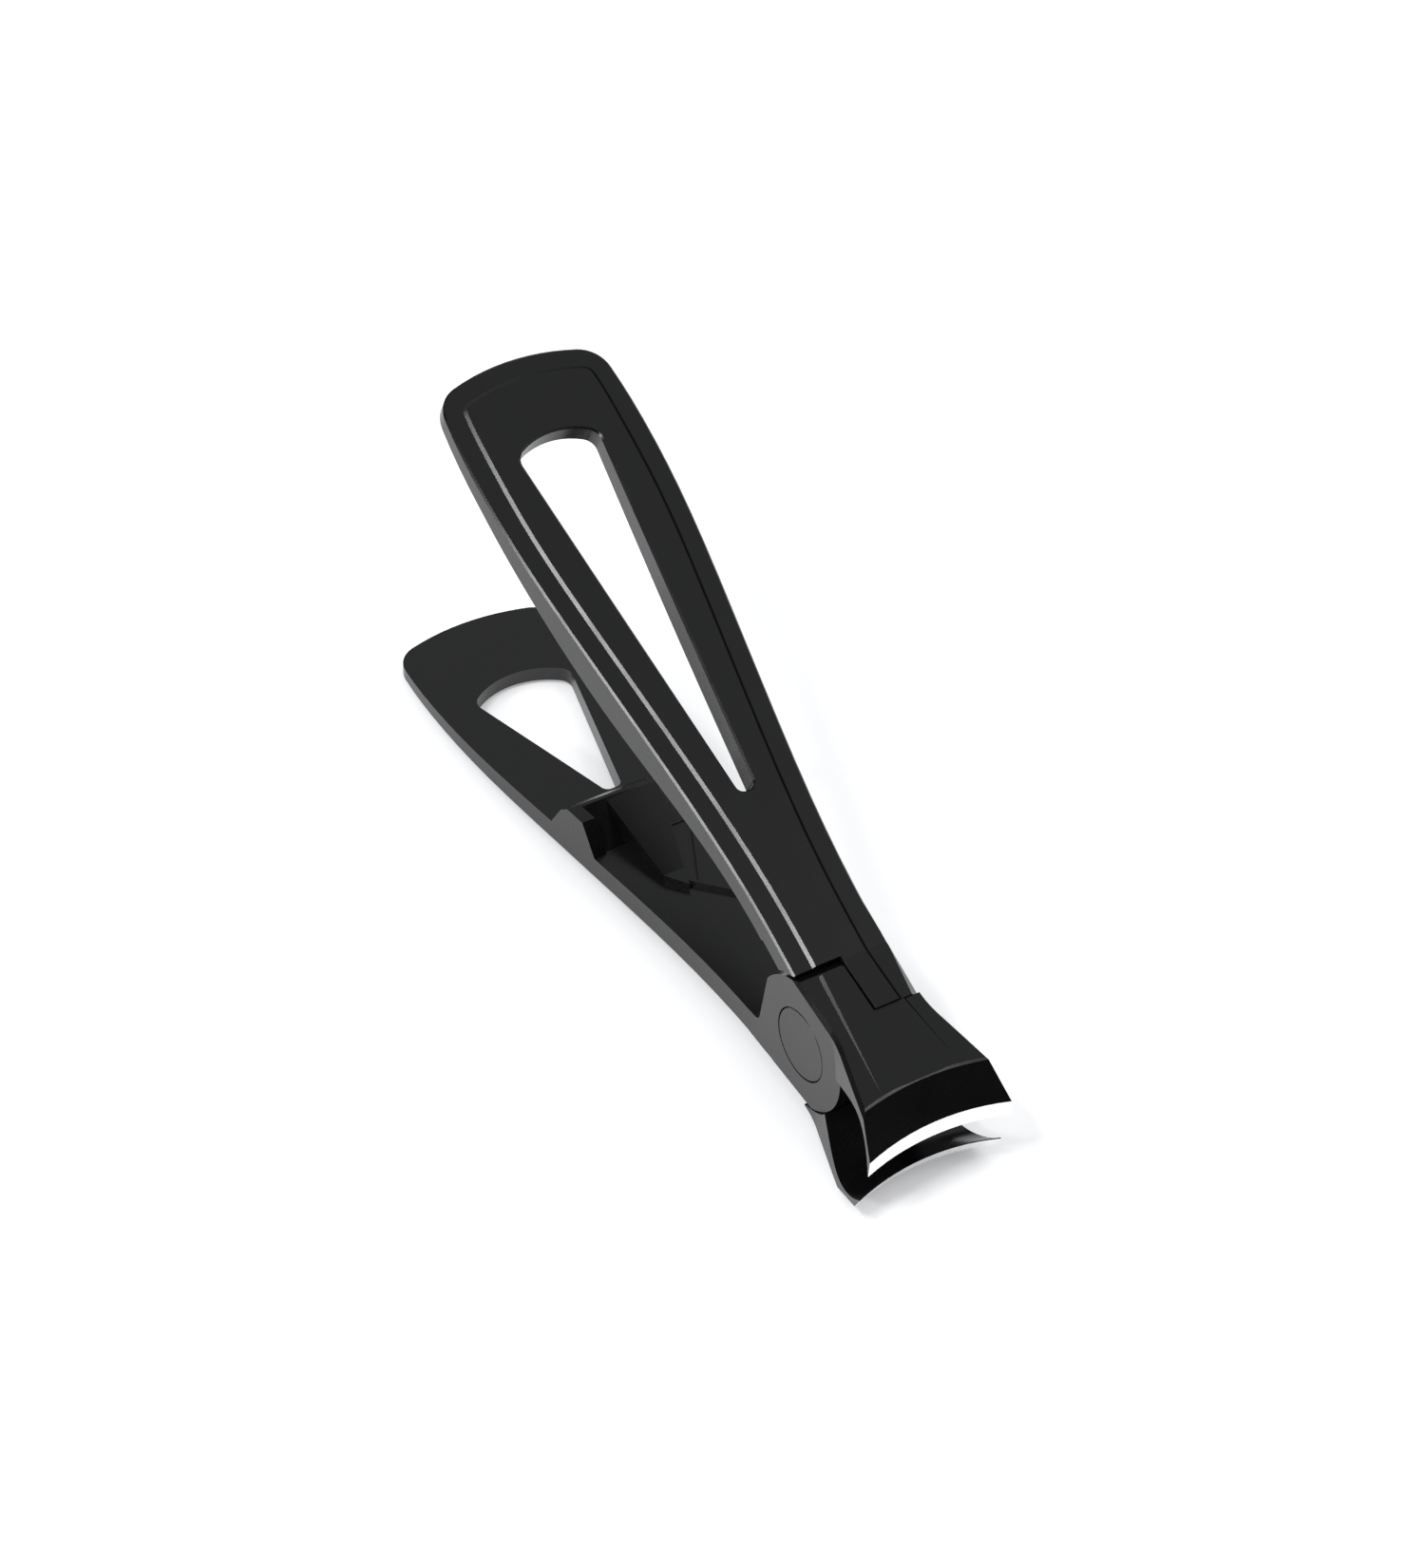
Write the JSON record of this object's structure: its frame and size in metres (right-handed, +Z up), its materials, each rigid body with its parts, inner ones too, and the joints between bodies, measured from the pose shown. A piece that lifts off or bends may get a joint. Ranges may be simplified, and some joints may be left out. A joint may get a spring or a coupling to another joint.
{
  "type": "nail clipper",
  "caption": "Plier-type nail clipper: lapped levers with windowed grips, arched jaws with curved cutting edges, a flush pivot and a hidden torsion spring.",
  "frame": {"origin": "middle of the footprint, on the surface it lies on, open", "axes": "+X from the grips to the jaws, +Z up, +Y across from the bolt's head to the nut's head"},
  "size_m": [0.0913, 0.0198, 0.0429],
  "materials": {
    "black_steel": "satin black coated steel, bare polished steel on the ground faces of the jaws",
    "pivot_steel": "satin black coated steel",
    "washer_brass": "plain rolled sheet",
    "spring_steel": "bright drawn wire"
  },
  "bodies": {
    "lower": {"lower_lever": "black_steel", "pivot_bolt": "pivot_steel", "pivot_nut": "pivot_steel", "thrust_washer": "washer_brass", "torsion_spring": "spring_steel"},
    "upper": {"upper_lever": "black_steel"}
  },
  "joints": [
    {"name": "squeeze", "type": "hinge", "parent": "lower", "child": "upper", "pos_m": [0.02916, 0, 0.00864], "axis": [0, -1, 0], "range_deg": [0, 15.5], "stiffness_Nm_per_rad": 0.02, "springref_deg": -28.65, "deforming": ["torsion_spring"]}
  ]
}
